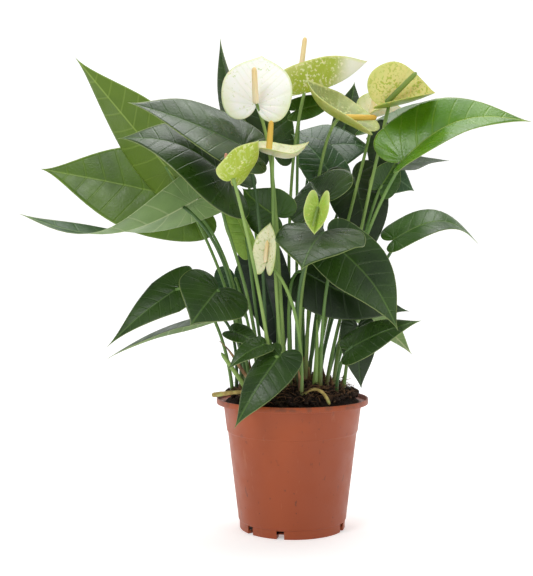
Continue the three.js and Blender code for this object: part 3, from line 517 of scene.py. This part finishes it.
# ---- Mesh helpers ----
def make_piece(name, points, faces, materials, blade=None, under=None, smooth=True, marks=None):
    """A mesh object that rides on the plant. points are in millimetres."""
    mesh = bpy.data.meshes.new(name)
    mesh.from_pydata([tuple(p) for p in np.asarray(points, float) * MM], [], faces)
    if blade is not None:
        layer = mesh.attributes.new("blade", "FLOAT_VECTOR", "POINT")
        layer.data.foreach_set("vector", np.asarray(blade, np.float32).ravel())
    if under is not None:
        layer = mesh.attributes.new("under", "FLOAT", "POINT")
        layer.data.foreach_set("value", np.asarray(under, np.float32))
    for material in materials:
        mesh.materials.append(material)
    if marks is not None:
        mesh.polygons.foreach_set("material_index", marks)
    mesh.polygons.foreach_set("use_smooth", [smooth] * len(mesh.polygons))
    mesh.validate()
    mesh.update()
    piece = bpy.data.objects.new(name, mesh)
    bpy.context.scene.collection.objects.link(piece)
    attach(piece, "root")
    return piece


def unit(v):
    return v / np.linalg.norm(v, axis=-1, keepdims=True)


def bezier(points, count):
    """count points along a Bezier curve with any number of bend points."""
    t = np.linspace(0, 1, count)[:, None, None]
    level = np.asarray(points, float)[None].repeat(count, 0)
    while level.shape[1] > 1:
        level = level[:, :-1] * (1 - t) + level[:, 1:] * t
    return level[:, 0]


def ring_faces(count, sides, start=0):
    """Faces of a closed skin over count rings of points, with an end face on the first and last ring."""
    faces = [tuple(start + i for i in reversed(range(sides)))]
    for k in range(count - 1):
        for i in range(sides):
            a, b = start + k * sides + i, start + k * sides + (i + 1) % sides
            faces.append((a, b, b + sides, a + sides))
    faces.append(tuple(start + (count - 1) * sides + i for i in range(sides)))
    return faces


def tube(path, radii, sides, flat=1.0, start=0):
    """A closed tube with its own radius at each point of the path: points, faces, fields.

    Its first field is the share of the way along it. flat narrows it one way, and its faces count
    their points from start."""
    path = np.asarray(path, float)
    tangents = unit(np.gradient(path, axis=0))
    normal = np.cross(tangents[0], [0.3, 1.0, 0.1])
    turns = np.arange(sides) * 2 * math.pi / sides
    rings = []
    for point, tangent, radius in zip(path, tangents, radii):
        normal = unit(normal - tangent * np.dot(normal, tangent))
        binormal = np.cross(tangent, normal)
        ring = np.outer(np.cos(turns), normal) + flat * np.outer(np.sin(turns), binormal)
        rings.append(point + radius * ring)
    shares = np.repeat(np.linspace(0, 1, len(path)), sides)
    fields = np.stack([shares, shares * 0, shares * 0], 1)
    return np.concatenate(rings), ring_faces(len(path), sides, start), fields


def make_bundle(name, tubes, material):
    """One piece made of many tubes, each given as path, radii, sides and flatness."""
    points, faces, fields = [], [], []
    for path, radii, sides, flat in tubes:
        shell, quads, along = tube(path, radii, sides, flat, len(points))
        points += list(shell)
        faces += quads
        fields += list(along)
    make_piece(name, points, faces, [material], fields)


def peat_height(x, y):
    """Height of the mound, before its crumbs: domed, with a few broad lumps."""
    share = min(1, math.hypot(x, y) / NECK_RADIUS)
    mound = PEAT_EDGE + (PEAT_CENTRE - PEAT_EDGE) * (1 - share ** 3)
    lumps = math.sin(x * 0.13 + 1) * math.cos(y * 0.11 - 0.6) + 0.6 * math.sin(x * 0.31 - y * 0.23)
    return mound + 2.4 * lumps * (1 - share ** 6)


# ---- Blades, by the same rules as the part's source ----
def blade_frame(row):
    """The joint, the blade's length, and unit vectors along it, out of its face and to its side."""
    joint = np.array(row["joint"], float)
    along = np.array(row["tip"], float) - joint
    length = np.linalg.norm(along)
    along = along / length
    turn, up = np.radians(row["face"])
    out = np.array([math.sin(turn) * math.cos(up), -math.cos(turn) * math.cos(up), math.sin(up)])
    out = unit(out - along * np.dot(out, along))
    return joint, length, along, out, np.cross(along, out)


def midrib(row, a):
    """Points of the midrib at shares a of its length, carried on straight behind the joint."""
    joint, length, along, out, side = blade_frame(row)
    bow, sway = row.get("bow", 0), row.get("sway", 0)
    t = np.maximum(a, 0)
    behind = np.minimum(a, 0) * math.pi
    rise = bow * np.sin(math.pi * t) + behind * bow
    drift = sway * np.sin(math.pi * t) + behind * sway
    return joint + length * (np.outer(a, along) + np.outer(rise, out) + np.outer(drift, side))


def blade_points(row, a, w, offset):
    """Points of the blade at share a of its length and share w of its half width, offset out of its face."""
    out = blade_frame(row)[3]
    fold, curl, twist = (math.radians(row.get(key, 0)) for key in ("fold", "curl", "twist"))
    tangent = unit(midrib(row, a + 0.01) - midrib(row, a - 0.01))
    normal = unit(out - tangent * (tangent @ out)[:, None])
    angle = (twist * (a - 0.5))[:, None]
    normal = normal * np.cos(angle) + np.cross(tangent, normal) * np.sin(angle)
    side = np.cross(tangent, normal)
    reach = np.abs(w) * row["width"] / 2
    first = fold * (1 - row.get("ease", 0) * np.maximum(a, 0))
    bend = curl * np.abs(w)
    sign = np.sign(w)
    lean = first + bend
    across = reach * np.cos(first + bend / 2) * sign - offset * np.sin(lean) * sign
    ripple = row.get("wave", 0) * w * w * np.sin(9 * a + 2 * sign)
    height = reach * np.sin(first + bend / 2) + ripple + offset * np.cos(lean)
    return midrib(row, a) + side * across[:, None] + normal * height[:, None]


def outline_points(row, stretches):
    taper = row.get("taper", 0)
    slender = np.array(stretches, float)
    slender[0][1][0] -= 0.1 * taper
    slender[0][2][0] -= 0.19 * taper
    slender[0][2][1] -= 0.34 * taper
    half = [np.array([[1.0, 0.0]])]
    for controls, steps in zip(slender, OUTLINE_STEPS):
        half.append(bezier(controls, steps + 1)[1:])
    half = np.concatenate(half)
    half[:, 0] = np.where(half[:, 0] < 0, half[:, 0] * row.get("lobe", 1), half[:, 0])
    left = half * [1, -1]
    return np.concatenate([left, half[1:-1][::-1]])


def vein_phase(row, a, w, count, slope):
    """A field whose whole numbers are the lateral veins; behind the joint they fan out from it."""
    y = np.abs(w) * row["width"] / 2 / blade_frame(row)[1]
    ahead = (a - slope * y ** 1.1) * count
    angle = math.atan(slope) - np.arctan2(a, y + 1e-6)
    fan = -angle / 0.4 * np.minimum(1, (y + np.abs(a)) * 14)
    return np.where(ahead > 0, ahead, fan)


def make_blade(row, outline, thickness, material, veins, slope, relief):
    rim = outline_points(row, outline)
    count = len(rim)
    shares = (np.arange(1, BLADE_RINGS + 1) / BLADE_RINGS) ** 0.9
    a = np.concatenate([[0.0]] + [rim[:, 0] * share for share in shares])
    w = np.concatenate([[0.0]] + [rim[:, 1] * share for share in shares])
    rings = np.concatenate([[0.0]] + [np.full(count, share) for share in shares])
    phase = vein_phase(row, a, w, veins, slope)
    lift = -relief * np.cos(2 * math.pi * phase) * np.minimum(1, np.abs(w) * 8) * (1 - rings ** 6)
    half = thickness / 2 * (1 - 0.45 * rings ** 8)
    points = np.concatenate([blade_points(row, a, w, half + lift), blade_points(row, a, w, lift - half)])
    fields = np.stack([phase, w * row["width"] / 2, rings], 1)
    under = np.concatenate([np.zeros(len(a)), np.ones(len(a))])
    faces = []
    for start, order in ((0, 1), (len(a), -1)):
        for i in range(count):
            j = (i + 1) % count
            faces.append((start, start + 1 + i, start + 1 + j)[::order])
            for ring in range(BLADE_RINGS - 1):
                p = start + 1 + ring * count
                q = p + count
                faces.append((p + i, q + i, q + j, p + j)[::order])
    last = 1 + (BLADE_RINGS - 1) * count
    for i in range(count):
        j = (i + 1) % count
        faces.append((last + i, len(a) + last + i, len(a) + last + j, last + j))
    piece = make_piece(row["name"], points, faces, [material],
                       np.concatenate([fields, fields]), under)
    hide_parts(row["name"])


def make_stem(row, foot, neck, material, name):
    """The petiole or stalk, a little thicker at the foot and just below the joint."""
    x, y = row["root"]
    end = midrib(row, np.array([STEM_OVERRUN]))[0]
    path = bezier([[x, y, peat_height(x, y) - PLANTING_DEPTH]] + row["stem"] + [list(end)], STEM_STEPS)
    t = np.linspace(0, 1, STEM_STEPS)
    radii = neck + (foot - neck) * np.exp(-6 * t) + 0.35 * np.exp(-((t - 0.95) / 0.035) ** 2)
    points, faces, fields = tube(path, radii, STEM_SIDES)
    make_piece(name, points, faces, [material], fields)


def make_spadix(row, material):
    """A spadix set with rows of small bumps that wind round it."""
    out = blade_frame(row)[3]
    start = np.array(row["joint"]) + out * (row["radius"] + 1) / math.cos(math.radians(row.get("fold", 0)))
    axis = np.array(row["top"]) - start
    length = np.linalg.norm(axis)
    axis = axis / length
    first = unit(np.cross(axis, [0.2, 1, 0.3]))
    second = np.cross(axis, first)
    steps = max(30, int(length / 0.55))
    turns = np.arange(SPADIX_SIDES) * 2 * math.pi / SPADIX_SIDES
    points, fields = [], []
    for k in range(steps + 1):
        t = k / steps
        z = t * length
        end = min(1, math.sqrt(max(0.0004, 1 - (1 - min(1, z / 3)) ** 2)))
        tip = min(1, math.sqrt(max(0.0004, 1 - (1 - min(1, (length - z) / 4.5)) ** 2)))
        radius = row["radius"] * (1 - 0.22 * t) * end * tip
        relief = np.cos(5 * turns + z * 2.4) * np.cos(5 * turns - z * 2.4)
        ring = np.outer(np.cos(turns), first) + np.outer(np.sin(turns), second)
        points.append(start + axis * z + (radius * (1 + 0.075 * relief))[:, None] * ring)
        fields.append(np.stack([np.full(SPADIX_SIDES, t), relief, relief * 0], 1))
    name = row["name"] + "_spadix"
    piece = make_piece(name, np.concatenate(points), ring_faces(steps + 1, SPADIX_SIDES), [material],
                       np.concatenate(fields))
    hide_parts(name)


# ---- Pot ----
def lathe(profile, sides):
    """Points and faces of a solid of revolution whose profile starts and ends on the axis."""
    turns = np.arange(sides) * 2 * math.pi / sides
    points = [[0, 0, profile[0][1]]]
    for r, z in profile[1:-1]:
        points += [[r * math.cos(t), r * math.sin(t), z] for t in turns]
    points.append([0, 0, profile[-1][1]])
    last = len(points) - 1
    rings = len(profile) - 2
    faces = []
    for i in range(sides):
        j = (i + 1) % sides
        faces.append((0, 1 + j, 1 + i))
        for k in range(rings - 1):
            p, q = 1 + k * sides, 1 + (k + 1) * sides
            faces.append((p + i, p + j, q + j, q + i))
        faces.append((last, 1 + (rings - 1) * sides + i, 1 + (rings - 1) * sides + j))
    return points, faces


def rounded(profile, radius, steps=3):
    """The profile with each corner turned into a short arc."""
    result = [profile[0]]
    for before, corner, after in zip(profile, profile[1:], profile[2:]):
        before, corner, after = np.array(before, float), np.array(corner, float), np.array(after, float)
        size = min(radius, np.linalg.norm(before - corner) * 0.4, np.linalg.norm(after - corner) * 0.4)
        first = corner + unit(before - corner) * size
        last = corner + unit(after - corner) * size
        result += [list(p) for p in bezier([first, corner, last], steps)]
    result.append(profile[-1])
    return result


def make_pot(material):
    """The pot turned from one profile, with the drainage notches cut through its foot."""
    skirt = POT_HEIGHT - RIM_SKIRT
    profile = [
        [0, 0], [HUB_RADIUS, 0], [HUB_RADIUS + 2, FLOOR_RAISE], [FOOT_RING_INSIDE - 2, FLOOR_RAISE],
        [FOOT_RING_INSIDE, 0], [FOOT_RADIUS, 0], [FOOT_RADIUS + 0.4, FOOT_BAND],
        [FOOT_RADIUS + 1.5, FOOT_BAND + 0.8], [STEP_RADIUS, STEP_HEIGHT - 0.6],
        [STEP_RADIUS + 1, STEP_HEIGHT + 0.4], [NECK_RADIUS, skirt - 1], [NECK_RADIUS + 1, skirt],
        [RIM_RADIUS, skirt], [RIM_RADIUS, POT_HEIGHT], [RIM_RADIUS - WALL, POT_HEIGHT],
        [RIM_RADIUS - WALL - 0.4, skirt + WALL], [NECK_RADIUS + 0.6, skirt + WALL],
        [NECK_RADIUS - WALL, skirt - 1], [STEP_RADIUS - WALL + 1, STEP_HEIGHT + 1],
        [STEP_RADIUS - WALL, STEP_HEIGHT], [FOOT_RADIUS - WALL + 0.4, FOOT_BAND],
        [FOOT_RADIUS - WALL, FLOOR_TOP], [0, FLOOR_TOP],
    ]
    points, faces = lathe(rounded(profile, POT_CORNER), POT_SIDES)
    pot = make_piece("pot_shell", points, faces, [material])
    cutters = bmesh.new()
    for azimuth in NOTCH_AZIMUTHS:
        box = bmesh.ops.create_cube(cutters, size=1)["verts"]
        middle = -(FOOT_RADIUS + 2 - NOTCH_DEPTH / 2)
        for vertex in box:
            x, y, z = vertex.co
            x, y = x * NOTCH_WIDTH, y * NOTCH_DEPTH + middle
            z = z * (NOTCH_HEIGHT + 1) + (NOTCH_HEIGHT - 1) / 2
            turn = math.radians(azimuth)
            vertex.co = Vector((x * math.cos(turn) - y * math.sin(turn),
                                x * math.sin(turn) + y * math.cos(turn), z)) * MM
    mesh = bpy.data.meshes.new("notches")
    cutters.to_mesh(mesh)
    cutters.free()
    notches = bpy.data.objects.new("notches", mesh)
    bpy.context.scene.collection.objects.link(notches)
    cut = pot.modifiers.new("notches", "BOOLEAN")
    cut.operation = "DIFFERENCE"
    cut.object = notches
    cut.solver = "EXACT"
    bpy.context.view_layer.update()
    finished = bpy.data.meshes.new_from_object(pot.evaluated_get(bpy.context.evaluated_depsgraph_get()))
    pot.modifiers.clear()
    pot.data = finished
    bpy.data.objects.remove(notches)
    finished.shade_smooth()
    edges = bmesh.new()
    edges.from_mesh(finished)
    for edge in edges.edges:
        edge.smooth = edge.calc_face_angle(0) < math.radians(SHARP_EDGE)
    edges.to_mesh(finished)
    edges.free()
    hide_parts("pot")


# ---- Peat ----
PEAT_RADIUS = NECK_RADIUS - WALL - 1


def heap(share, turn, height):
    """How high loose peat is heaped against the rim, most at the left and right."""
    return height * share ** 6 * abs(math.cos(turn))


def make_mound(material):
    rings, sides = MOUND_RINGS, MOUND_SIDES
    points = [[0, 0, peat_height(0, 0)]]
    for k in range(1, rings + 1):
        for i in range(sides):
            turn = 2 * math.pi * i / sides
            r = PEAT_RADIUS * k / rings
            x, y = r * math.cos(turn), r * math.sin(turn)
            rough = noise.fractal(Vector((x, y, 3)) * 0.12, 0.8, 2.1, 4)
            points.append([x, y, peat_height(x, y) + 2.6 * rough])
    foot = len(points)
    for i in range(sides):
        x, y, z = points[foot - sides + i]
        points.append([x * 0.98, y * 0.98, PEAT_EDGE - MOUND_SKIRT])
    points.append([0, 0, PEAT_EDGE - MOUND_SKIRT])
    last = len(points) - 1
    faces = []
    for i in range(sides):
        j = (i + 1) % sides
        faces.append((0, 1 + i, 1 + j))
        for k in range(rings):
            p, q = 1 + k * sides, 1 + (k + 1) * sides
            faces.append((p + i, q + i, q + j, p + j))
        faces.append((last, foot + j, foot + i))
    piece = make_piece("peat_mound", points, faces, [material])
    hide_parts("peat")


def make_crumbs(material, light_material):
    """Knobbly lumps of many sizes strewn over the mound, some of them lighter."""
    lump = bmesh.new()
    bmesh.ops.create_icosphere(lump, subdivisions=1, radius=1)
    shape = np.array([v.co[:] for v in lump.verts])
    shells = [tuple(v.index for v in f.verts) for f in lump.faces]
    lump.free()
    points, faces, marks = [], [], []
    for _ in range(CRUMBS):
        turn, share = rng.uniform(0, 2 * math.pi), math.sqrt(rng.random())
        r = PEAT_RADIUS * 0.985 * share
        x, y = r * math.cos(turn), r * math.sin(turn)
        size = rng.choice(CRUMB_SIZES)
        stretch = np.array([rng.uniform(0.6, 1.5) for _ in range(3)])
        heading = Vector((rng.random(), rng.random(), rng.random()))
        spin = np.array(heading.to_track_quat("Z", "Y").to_matrix())
        knobs = np.array([rng.uniform(0.7, 1.25) for _ in shape])[:, None]
        place = np.array([x, y, peat_height(x, y) + rng.uniform(0, size * 0.8) + heap(share, turn, 9)])
        start = len(points)
        points += list((shape * knobs * stretch * size) @ spin.T + place)
        faces += [tuple(start + i for i in face) for face in shells]
        marks += [1 if rng.random() < LIGHT_CRUMBS else 0] * len(shells)
    make_piece("peat_crumbs", points, faces, [material, light_material], smooth=False, marks=marks)


def make_fibres(material):
    """Fine roots and stalks that arch out of the peat; any that would pass the rim is left out."""
    tubes = []
    for _ in range(FIBRES):
        turn, share = rng.uniform(0, 2 * math.pi), math.sqrt(rng.random())
        r = PEAT_RADIUS * 0.93 * share
        x, y = r * math.cos(turn), r * math.sin(turn)
        heading, length = rng.uniform(0, 2 * math.pi), rng.uniform(8, 30)
        dx, dy = math.cos(heading) * length / 3, math.sin(heading) * length / 3
        ground = peat_height(x, y) + 1 + heap(share, turn, 7)
        bends = [[x, y, ground - 3]]
        for step in (1, 2, 3):
            bends.append([x + dx * step + rng.uniform(-3, 3), y + dy * step + rng.uniform(-3, 3),
                          ground + rng.uniform(-1, 7)])
        if max(math.hypot(p[0], p[1]) for p in bends) > PEAT_RADIUS:
            continue
        thick = rng.uniform(0.2, 0.75)
        radii = np.linspace(thick, thick * 0.4, FIBRE_STEPS)
        tubes.append((bezier(bends, FIBRE_STEPS), radii, 5, 1))
    make_bundle("peat_fibres", tubes, material)


# ---- Small growths at the foot of the plant ----
def make_rod(name, material, wobble=0.0):
    """A round rod that tapers, with a blunt end; wobble makes it knotty."""
    (first, last), bends = RODS[name]
    t = np.linspace(0, 1, ROD_STEPS)
    radii = first + (last - first) * t + wobble * np.sin(t * 37) * np.sin(t * 11 + 1)
    radii = radii * np.sqrt(np.clip((1 - t) * 14, 0.05, 1))
    points, faces, fields = tube(bezier(bends, ROD_STEPS), radii, 12)
    piece = make_piece(name, points, faces, [material], fields)
    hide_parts(name)


def make_husks(material):
    """Dried sheaths that stand round the feet of the petioles, and one long one at the left."""
    feet = [row["root"] for row in LEAVES[::2]] + [row["root"] for row in FLOWERS]
    strips = []
    for x, y in feet:
        base = peat_height(x, y) - 4
        height = rng.uniform(16, 42)
        lean = [rng.uniform(-7, 7), rng.uniform(-7, 7)]
        path = [[x, y, base], [x + lean[0] * 0.3, y + lean[1] * 0.3, base + height * 0.6],
                [x + lean[0], y + lean[1], base + height]]
        strips.append((path, rng.uniform(2.6, 3.8)))
    strips.append(([[-40, -38, 160], [-62, -44, 186], [-64, -40, 200], [-80, -38, 212]], 2.6))
    t = np.linspace(0, 1, HUSK_STEPS)
    shape = np.clip(1.15 - t, 0.12, 1) * (1 + 0.12 * np.sin(t * 21))
    tubes = [(bezier(path, HUSK_STEPS), width * shape, 8, 0.55) for path, width in strips]
    make_bundle("dry_husks", tubes, material)


# ---- The plant ----
leaf_materials = {tone: leaf_material(tone) for tone in LEAF_TONES}
spathe_materials = {tone: spathe_material(tone, "spathe_" + tone) for tone in SPATHE_TONES}
spathe_bleached = spathe_material("lime", "spathe_bleached", 0.95)
spadix_materials = {tone: spadix_material(tone) for tone in PISTIL_TONES}
petiole = stem_material("petiole", 0x6f8f45, 0x557a38, 0x7a6238)
dark_petiole = stem_material("petiole_dark", 0x4c6c34, 0x3a5a2c, 0x6a5434)
stalk = stem_material("stalk", 0x8aa654, 0x6f9044, 0x7a6238)
root = root_material()
husk = husk_material()
fibre = stem_material("peat_fibre", 0x7a5636, 0x4e3623, 0x3a281c, 0.8)
peat_dark = peat_material("peat_dark", 0x33241b, 0x1f1611, 0x5a4634)
peat_light = peat_material("peat_light", 0x59402c, 0x3a291d, 0x8c7150)

for index, row in enumerate(LEAVES):
    make_blade(row, LEAF_OUTLINE, BLADE_THICKNESS, leaf_materials[row["tone"]], 7.5, 0.62, 0.3)
    make_stem(row, 2.6, 1.75, dark_petiole if index % 3 == 1 else petiole, row["name"] + "_petiole")
for row in FLOWERS:
    material = spathe_bleached if row["name"] == "flower_2" else spathe_materials[row["tone"]]
    make_blade(row, SPATHE_OUTLINE, SPATHE_THICKNESS, material, 6, 1.1, 0.12)
    make_stem(row, 2.4, 1.85, stalk, row["name"] + "_stalk")
    make_spadix(row, spadix_materials[row["pistils"]])
make_rod("root_left", root, 0.25)
make_rod("root_front", root, 0.2)
make_rod("sheath_green", stalk)
make_rod("stub_cut", stalk, 0.1)
make_husks(husk)
make_mound(peat_dark)
make_crumbs(peat_dark, peat_light)
make_fibres(fibre)
make_pot(pot_material())


# ---- Studio, in metres ----
PAPER = (0.93, 0.93, 0.93, 1)
PAPER_SHADE = (0.92535, 0.92535, 0.92535, 1)
PAPER_GLOW = 0.35
WORLD_STRENGTH = 0.42
# For each light: its place, what it points at, its width and height, and its power in watts.
LIGHTS = {
    "key": ((-0.9, -1.3, 1.5), (0, 0, 0.35), (0.7, 0.7), 13),
    "fill": ((1.2, -1.0, 0.9), (0, 0, 0.3), (0.8, 1.2), 4),
    "top": ((0.1, 0.3, 1.6), (0, 0, 0.3), (1.0, 1.0), 12),
}
CAMERA_PLACE = (-0.029, -1.150, 0.300)
CAMERA_DIP = 1.56  # degrees below level
CAMERA_LENS = 64.1  # millimetres
CAMERA_SENSOR = 36  # millimetres


def paper_material():
    s = Shader("paper", Specular_IOR_Level=0.2, Roughness=0.9)
    s.set("Base Color", s.mix(s.step(s.noise(3, 2), 0.3, 0.7), PAPER, PAPER_SHADE))
    s.set("Emission Color", (1, 1, 1, 1))
    s.set("Emission Strength", PAPER_GLOW)
    return s.material


def make_backdrop():
    """A pale floor that curves up into a wall behind the plant."""
    reach, front, back, top, radius = 8, -9, 2.2, 3.5, 1.0
    profile = [(front, 0.0), (0.0, 0.0), (back - radius, 0.0)]
    profile += [(back - radius + radius * math.sin(t), radius - radius * math.cos(t))
                for t in np.linspace(0.1, math.pi / 2, 12)]
    profile.append((back, top))
    points = [(x, y, z) for y, z in profile for x in (-reach, reach)]
    faces = [(2 * k, 2 * k + 1, 2 * k + 3, 2 * k + 2) for k in range(len(profile) - 1)]
    mesh = bpy.data.meshes.new("backdrop")
    mesh.from_pydata(points, [], faces)
    mesh.materials.append(paper_material())
    mesh.polygons.foreach_set("use_smooth", [True] * len(mesh.polygons))
    backdrop = bpy.data.objects.new("backdrop", mesh)
    bpy.context.scene.collection.objects.link(backdrop)


def add_light(name, place, target, size, power):
    data = bpy.data.lights.new(name, "AREA")
    data.shape = "RECTANGLE"
    data.size, data.size_y = size
    data.energy = power
    lamp = bpy.data.objects.new(name, data)
    lamp.location = place
    lamp.rotation_euler = (Vector(target) - Vector(place)).to_track_quat("-Z", "Y").to_euler()
    bpy.context.scene.collection.objects.link(lamp)


def add_world():
    world = bpy.data.worlds.new("studio")
    world.use_nodes = True
    background = world.node_tree.nodes["Background"]
    background.inputs["Color"].default_value = (1, 1, 1, 1)
    background.inputs["Strength"].default_value = WORLD_STRENGTH
    bpy.context.scene.world = world


def add_camera():
    """In front of the plant, at leaf height, looking slightly down."""
    data = bpy.data.cameras.new("camera")
    data.lens = CAMERA_LENS
    data.sensor_width = CAMERA_SENSOR
    camera = bpy.data.objects.new("camera", data)
    camera.location = CAMERA_PLACE
    camera.rotation_euler = (math.radians(90 - CAMERA_DIP), 0, 0)
    bpy.context.scene.collection.objects.link(camera)
    bpy.context.scene.camera = camera


make_backdrop()
bpy.context.scene.view_settings.view_transform = "Standard"
add_world()
for name, settings in LIGHTS.items():
    add_light(name, *settings)
add_camera()
